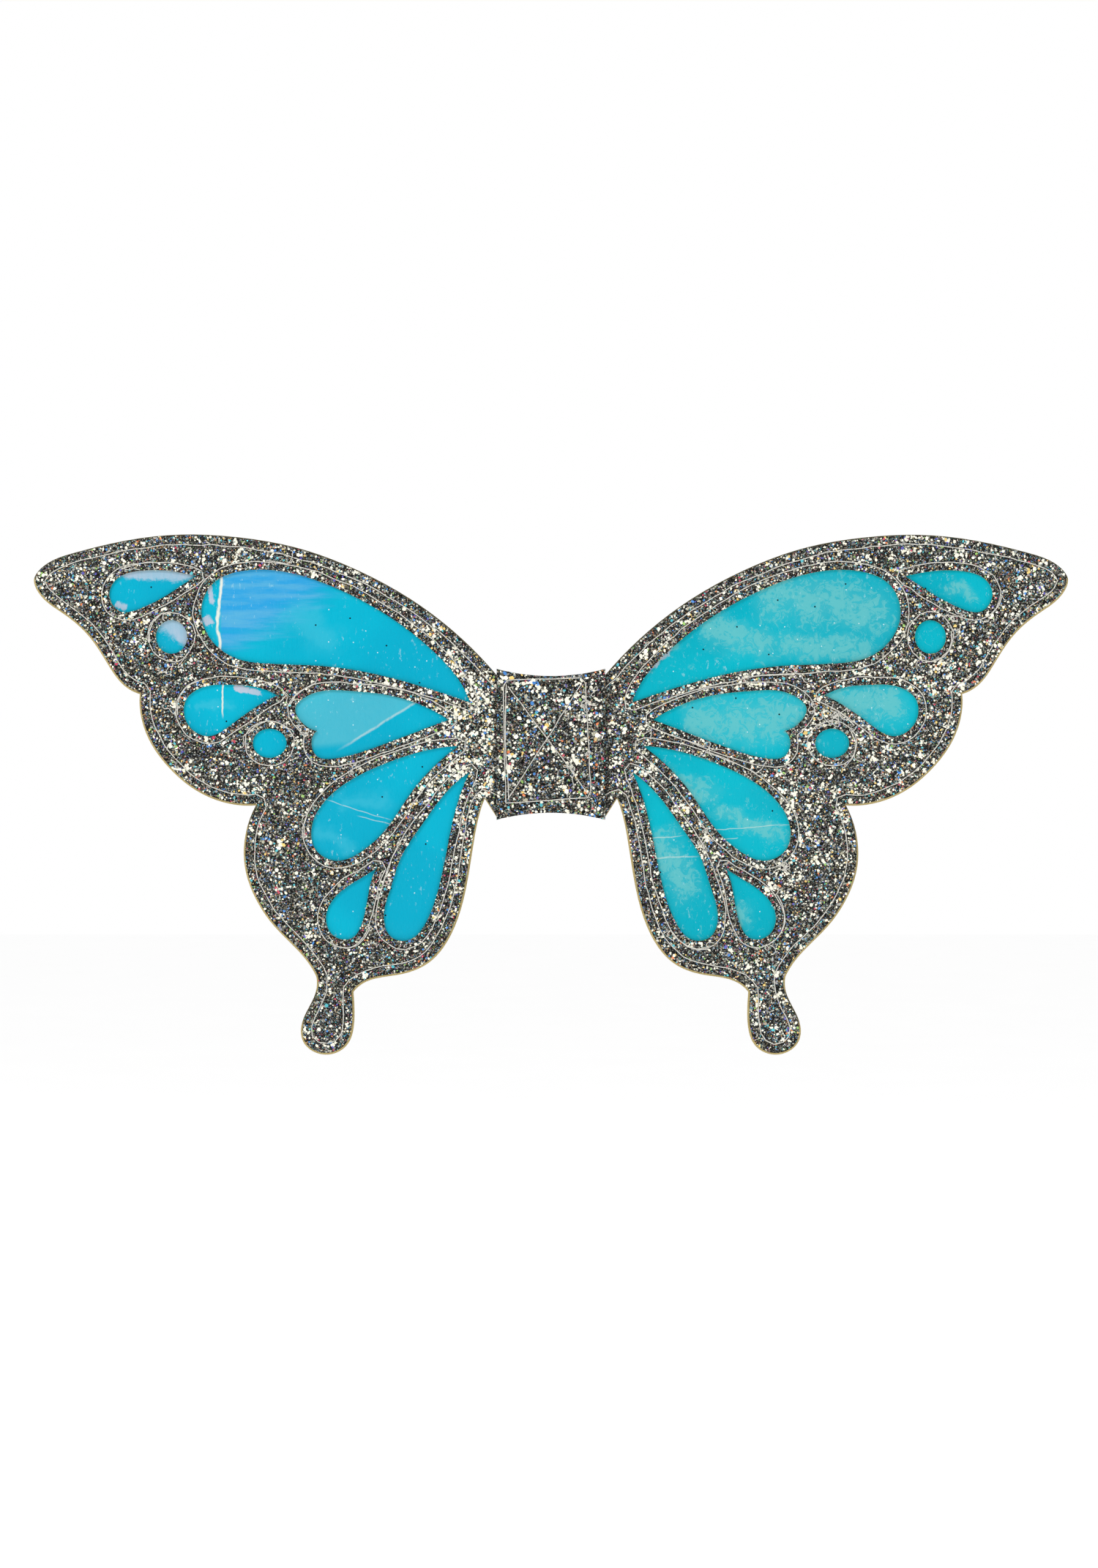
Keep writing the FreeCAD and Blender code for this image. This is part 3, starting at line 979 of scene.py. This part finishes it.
def stitch_tree(material):
    """A row of stitches along lines: each rises from one needle hole and dips into the next."""
    grow = Growth("row_of_stitches", Stitch="Float", Thread="Float", Out="Float", Wobble="Float", Seed="Int")
    thread, out = grow["Thread"], grow["Out"]
    by_length = {"mode": "LENGTH"}
    line = grow.node("GeometryNodeResampleCurve", by_length, Curve=grow.lines(), Length=grow["Stitch"])
    stray = grow.vector("SCALE", grow.chance((-1, 0, -1), (1, 0, 1), grow["Seed"]), Scale=grow["Wobble"])
    line = grow.node("GeometryNodeSetPosition", Geometry=line, Offset=stray)
    holes = grow.node("GeometryNodeCurveToMesh", Curve=line)
    ends = grow.node("GeometryNodeInputMeshEdgeVertices").outputs
    along = grow.vector("SUBTRACT", ends["Position 2"], ends["Position 1"])
    holes = grow.store(holes, "along", along, "EDGE", "FLOAT_VECTOR")
    points = grow.node("GeometryNodeMeshToPoints", {"mode": "EDGES"}, Mesh=holes)
    along = grow.named("along", "FLOAT_VECTOR")
    x, _, z = grow.axes(along)
    turn = grow.rotation(grow.join(y=(z * -1.0).math("ARCTAN2", x)))
    stretch = grow.join(grow.vector("LENGTH", along, output="Value"), 1.0, 1.0)
    rise, dip = out * thread * 4.8, out * thread * -0.4
    arc = grow.node("GeometryNodeCurveQuadraticBezier", Resolution=5, Start=grow.join(-0.5, dip),
                    Middle=grow.join(0.0, rise), End=grow.join(0.5, dip))
    return grow.finish(grow.instances(points, grow.tube(arc, thread, 6), turn, Scale=stretch), material)


def hook_tree(material):
    """Moulded hooks standing on the tape, each a stalk bent over at its tip."""
    grow = Growth("field_of_hooks", Height="Float", Stalk="Float", Seed="Int")
    height, stalk = grow["Height"], grow["Stalk"]
    points = grow.node("GeometryNodeMeshToPoints", {"mode": "VERTICES"}, Mesh=grow.source)
    tall = height - stalk
    top = grow.join(y=tall * 1.42)
    tip = grow.join(y=tall * 0.62, z=height * 0.62)
    arc = grow.node("GeometryNodeCurvePrimitiveBezierSegment", Resolution=6, Start=(0.0, 0.0, 0.0),
                    Start_Handle=top, End_Handle=top, End=tip)
    turn = grow.rotation(grow.chance((0, -0.35, 0), (0, 0.35, 0), grow["Seed"]))
    return grow.finish(grow.instances(points, grow.tube(arc, stalk, 6), turn), material)


# ---------------------------------------------------------------- wings
def flat_area(filled):
    points, triangles = filled
    a, b, c = (points[triangles[:, i]] for i in range(3))
    u, v = b - a, c - a
    return float(np.abs(u[:, 0] * v[:, 1] - u[:, 1] * v[:, 0]).sum() / 2)


def cut_sheet(filled):
    """Works out the flat area of a sheet of cloth, and keeps nothing of it."""
    flat_area(filled)


def bend(piece, side, slot, *nodes):
    """Bakes a wing piece's place into its mesh, and hides the nodes that it stands for."""
    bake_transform(piece)
    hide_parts(*nodes)


def hold(piece):
    """A piece that stays with the centre panel."""
    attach(piece, "panel")


def make_layer(wing, layer, filled, lift, proud, outward, slot, material):
    """One film or skin of a wing, and the places of its two faces."""
    faces_y = both_faces(wing.span(layer), lift, proud, outward)
    piece = sheet(f"{wing.side}_{layer}_sheet", filled, faces_y, outward, material)
    cut_sheet(filled)
    bend(piece, wing.side, slot, f"{wing.side}_{layer}")
    return faces_y


def make_layers(wing, paints):
    """Stiffener, films and glitter skins, from the middle of the wing outwards."""
    side = wing.side
    core = fill([wing.core], FELT_STEP)
    faces_y = both_faces(wing.span("core"), bow(*core[0].T), 0.0, -1)
    piece = sheet(side + "_felt_core", core, faces_y, -1, paints["felt"])
    # painted shade: marks where the stiffener's edge faces up, for its material to darken
    mark(piece.data, "soil", np.tile(facing_up(wing.core, core[0]), 2))
    cut_sheet(core)
    bend(piece, side, "stiffener", side + "_core", side + "_root")

    film = fill([wing.film], FILM_STEP)
    x, z = film[0].T
    for face, outward in FACES.items():
        lift = bow(x, z) + outward * old_fold(x, z, 0.35 * MM, 0.9 * MM)
        slack = np.maximum(wing.film_relief(x, z), 0.0)
        make_layer(wing, face + "_film", film, lift, slack, outward, "film", paints["film"])

    skin = fill([wing.skin] + wing.windows, SKIN_STEP, lines_beside(wing.seams))
    x, z = skin[0].T
    relief = wing.relief(x, z)
    for face, outward in FACES.items():
        lift = bow(x, z) - outward * old_fold(x, z, 0.3 * MM, 0.7 * MM)
        faces_y = make_layer(wing, face + "_skin", skin, lift, relief, outward, "glitter_fabric",
                             paints["glitter"])
        density = FLAKE_DENSITY * (1 if outward < 0 else BACK_SHARE)
        flakes = sprinkle(f"{side}_{face}_skin_flakes", skin, faces_y, outward, wing.to_seam, wing.to_cut,
                          density, FLAKE_R, paints)
        bend(flakes, side, "glitter_fabric")


def brightness(x, z, seed):
    """Where the glitter is whitest: in scattered clusters, more of them near the folds. The extra white at
    the left wing's root is partly a painted reflection of the light there.
    """
    out, high = np.abs(x) / MM, np.abs(z) / MM
    strut = smooth((105 - out) / 50) * smooth((60 - high) / 25)
    # partly painted reflection: only the left wing's root is whitened, where the light is mirrored in the
    # glitter
    root = np.where(x < -20 * MM, smooth((62 - out) / 24) * smooth((40 - high) / 18), 0)
    foot = smooth((-z / MM - 45) / 20)
    level = 0.33 + 0.06 * strut + 0.12 * root - 0.07 * foot + 0.06 * (x > 60 * MM) - 0.07 * (out < 20)
    lumps = 0.75 * unevenness(x, z, LUMP, seed) + 0.5 * unevenness(x, z, 2.5 * LUMP, seed + 4)
    cluster = smooth(2.8 * (lumps - 0.45 + 1.15 * level))
    veil = smooth(0.5 + unevenness(x, z, 16 * MM, seed + 9))
    return np.clip(cluster * (0.45 + 0.5 * veil) + 0.16 * root, 0, 1)


def sprinkle(name, filled, faces_y, outward, to_seam, to_cut, density, flake, paints):
    """Foil flakes over the visible face of a glitter sheet, clear of its cut edges and its stitching."""
    points, triangles = filled
    centre = points[triangles].mean(axis=1)
    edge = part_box("panel_front")[1].x
    shown = (to_seam(*centre.T) > 1.7 * THREAD_R) & (to_cut(*centre.T) > 0.32 * MM)
    if abs(points[:, 0]).max() > edge + MM:
        shadow = np.where(centre[:, 0] > 0, 0.7 * MM, 0)
        shown &= np.abs(points[triangles][:, :, 0]).min(axis=1) > edge + shadow
    y, faces = (faces_y[0], triangles[shown]) if outward < 0 else (faces_y[1], triangles[shown][:, ::-1])
    bed = mesh_from(name + "_bed", upright(points, y), [], faces)
    mark(bed, "bright", brightness(*points.T, 5 if outward < 0 else 6))
    mark(bed, "room", to_cut(*points.T) + 0.1 * MM)
    return paints["flakes"].grow(bed, name, Density=density, Flake=flake, Seed=len(points) % 97 + outward)


def seam_mesh(lines, y_of, stray=0.0):
    """Lines as mesh edges, each point on the surface under it, straying a little to both sides."""
    vertices, edges = [np.zeros((0, 3))], []
    first = 0
    for line in lines:
        ring = np.allclose(line[0], line[-1])
        path = spaced(line, 0.5 * MM)
        shift = np.stack([unevenness(*path.T, 9 * MM, seed) for seed in (21, 22)], axis=1)
        path = path + shift * stray
        path = path[:-1] if ring else path
        count = len(path)
        vertices.append(upright(path, y_of(*path.T)))
        edges += [(first + i, first + (i + 1) % count) for i in range(count if ring else count - 1)]
        first += count
    return mesh_from("seam_lines", np.vstack(vertices), edges, [])


def stitched(name, lines, outward, wobble, seed, paints):
    """A row of stitches along seam lines."""
    return paints["stitches"].grow(lines, name, Stitch=STITCH, Thread=THREAD_R, Out=float(outward),
                                   Wobble=wobble, Seed=seed)


def make_seams(wing, paints):
    """The perimeter seam and the window seams, needle thread in front and bobbin thread behind."""
    side = wing.side
    halves = []
    for face, outward in FACES.items():
        lines = seam_mesh(wing.seams + wing.overlaps, lambda x, z: wing.surface(outward, x, z), 0.45 * MM)
        name = f"{side}_{face}_skin_stitching"
        halves.append(stitched(name, lines, outward, 0.2 * MM, 5 + SIDES[side], paints))

    def lying(x, z):
        """Loose ends rise and fall a little as they lie on the cloth."""
        return wing.surface(-1, x, z) - (0.42 + 0.2 * np.sin(x * 2100 + z * 1700)) * MM

    strands = paints["strands"].grow(seam_mesh(wing.tails, lying), side + "_loose_ends", Thread=LOOSE_R)
    bend(strands, side, "thread")
    front, back = halves
    nodes = [side + "_edge_seam"] + [f"{side}_{name}_seam" for name in WINDOWS]
    bend(front, side, "thread", *nodes)
    bend(back, side, "thread")


# ---------------------------------------------------------------- centre panel
def panel_lines():
    """The stitching on the centre panel: the box, the second line down its side, and the cross."""
    box = flat_loops("box_stitch")[0]
    high_left, high_right, low_left, low_right = (
        box[np.argmax(box @ way)] for way in ((-1, 1), (1, 1), (-1, -1), (1, -1)))
    middle = (high_left + low_left) / 2
    second = np.array((high_left + (1.0 * MM, -1.5 * MM), middle + (0.2 * MM, 0),
                       low_left + (1.1 * MM, 1.0 * MM)))
    cross = [start + np.outer((0.05, 0.97), end - start)
             for start, end in ((high_left, low_right), (high_right, low_left))]
    return [closed(box), second], cross


def make_panel(paints):
    """The two fabric layers over the wing roots, with their flakes, stitching and loose ends."""
    outline = even(flat_loops("panel_front")[0], EDGE_STEP)
    box, cross = panel_lines()
    to_seam = Nearest(box + cross)
    panel = fill([outline], SKIN_STEP, lines_beside(box + cross))
    x, z = panel[0].T

    def puff(x, z):
        lumps = 0.07 * unevenness(x, z, LUMP, 4)
        return (puffed(to_seam(x, z), 0.4, 2.2 * MM, 0.3) + lumps) * MM

    curl = smooth((x - 14.5 * MM) / (5.5 * MM)) * 1.1 * MM + smooth((-x - 18.5 * MM) / (1.5 * MM)) * 0.25 * MM
    for face, outward in FACES.items():
        name = "panel_" + face
        low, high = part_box(name)
        lift, proud = (-curl, puff(x, z)) if outward < 0 else (0.0, 0.0)
        faces_y = both_faces((low.y, high.y), lift, proud, outward)
        piece = sheet(name + "_sheet", panel, faces_y, outward, paints["glitter"])
        cut_sheet(panel)
        hold(piece)
        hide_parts(name)
        if outward < 0:
            flakes = sprinkle("panel_front_flakes", panel, faces_y, outward, to_seam,
                              Nearest([closed(outline)]), FLAKE_DENSITY * PANEL_SHARE, PANEL_FLAKE_R, paints)
            hold(flakes)

    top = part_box("panel_front")[0].y
    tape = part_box("hook_tape")[1].y
    for name, lines in (("box_stitch", box), ("cross_stitch", cross)):
        front = seam_mesh(lines, lambda x, z: top - puff(x, z), 0.3 * MM)
        needle = stitched(name + "_thread", front, -1, 0.12 * MM, 2, paints)
        bobbin = stitched(name + "_bobbin", seam_mesh(lines, lambda x, z: tape), 1, 0.1 * MM, 3, paints)
        hold(needle)
        hold(bobbin)
        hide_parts(name)

    rng = random.Random(47)
    ends = []
    for spot, count in TANGLES["panel"]:
        for _ in range(count):
            start = beside(rng, spot, 1.2, 1.6)
            ends.append(scribble(rng, start, rng.uniform(7, 13) * MM, 1.6))
    strands = seam_mesh(ends, lambda x, z: top - puff(x, z) - 0.45 * MM)
    hold(paints["strands"].grow(strands, "panel_loose_ends", Thread=LOOSE_R))
    make_hooks(to_seam, paints)


def make_hooks(to_seam, paints):
    """The woven tape behind the panel and the hooks on it, but for where the stitches press them down."""
    tape = frame["nodes"]["hook_tape"].data.materials
    tape.clear()
    tape.append(paints["tape"])
    low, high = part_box("hook_pile")
    columns = np.arange(low.x + HOOK_GAP, high.x - HOOK_GAP / 2, HOOK_GAP)
    rows = np.arange(low.z + HOOK_GAP, high.z - HOOK_GAP / 2, HOOK_GAP * 1.15)
    spots = np.array([(x, z) for x in columns for z in rows])
    spots = spots[to_seam(*spots.T) > 0.7 * MM]
    feet = mesh_from("hook_feet", upright(spots, low.y), [], [])
    hooks = paints["hooks"].grow(feet, "hooks", Height=high.y - low.y, Stalk=STALK_R, Seed=8)
    hold(hooks)
    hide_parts("hook_pile")


# ---------------------------------------------------------------- stage
def make_room():
    """An even light all round, which the camera sees as pure white."""
    world = bpy.data.worlds.new("studio")
    world.use_nodes = True
    nodes = Nodes(world.node_tree)
    seen = nodes.node("ShaderNodeLightPath").outputs["Is Camera Ray"]
    background = world.node_tree.nodes["Background"].inputs
    nodes.feed(background["Color"], (1, 1, 1, 1))
    strength = nodes.node("ShaderNodeMapRange", Value=seen, To_Min=ROOM_LIGHT, To_Max=1.0)
    nodes.feed(background["Strength"], strength)
    bpy.context.scene.world = world


def make_stage():
    """Pale floor, soft light, and a camera square on to the front."""
    scene = bpy.context.scene
    scene.view_settings.view_transform = "Standard"
    make_room()
    low, high = cad_box
    corners = np.array([(-1, -1), (1, -1), (1, 1), (-1, 1)]) * FLOOR_SIZE
    floor = mesh_from("floor", np.insert(corners, 2, low.z - FLOOR_DROP, axis=1), [], [(0, 1, 2, 3)])
    floor = link_piece("floor", floor)
    paint = Paint("floor", Roughness=0.9, Emission_Color=(1, 1, 1, 1), Emission_Strength=1 - ROOM_LIGHT)
    grain = paint.noise(paint.place(), 0.01)
    pale = paint.mix(grain, (0.92, 0.92, 0.92, 1), (0.97, 0.97, 0.97, 1))
    floor.data.materials.append(paint.finish(Base_Color=pale))

    for name, place, width, power in LAMPS:
        light = bpy.data.lights.new(name, "AREA")
        light.size = width
        light.energy = power
        lamp = bpy.data.objects.new(name, light)
        lamp.location = Vector(place)
        lamp.rotation_euler = ((low + high) / 2 - lamp.location).to_track_quat("-Z", "Y").to_euler()
        scene.collection.objects.link(lamp)

    camera = bpy.data.objects.new("camera", bpy.data.cameras.new("camera"))
    camera.data.lens = LENS
    camera.data.sensor_width = SENSOR
    camera.location = (CAMERA_X, MIDDLE - VIEW_HEIGHT * LENS / SENSOR, CAMERA_Z)
    camera.rotation_euler = (math.pi / 2, 0, 0)
    scene.collection.objects.link(camera)
    scene.camera = camera


foils = foil_paints()
thread = thread_paint()
paints = {"glitter": glitter_paint(), "film": film_paint(), "felt": felt_paint(), "tape": tape_paint(),
          "flakes": flake_tree(foils), "stitches": stitch_tree(thread), "strands": strand_tree(thread),
          "hooks": hook_tree(hook_paint())}
for side in SIDES:
    wing = Wing(side)
    make_layers(wing, paints)
    make_seams(wing, paints)
make_panel(paints)
make_stage()
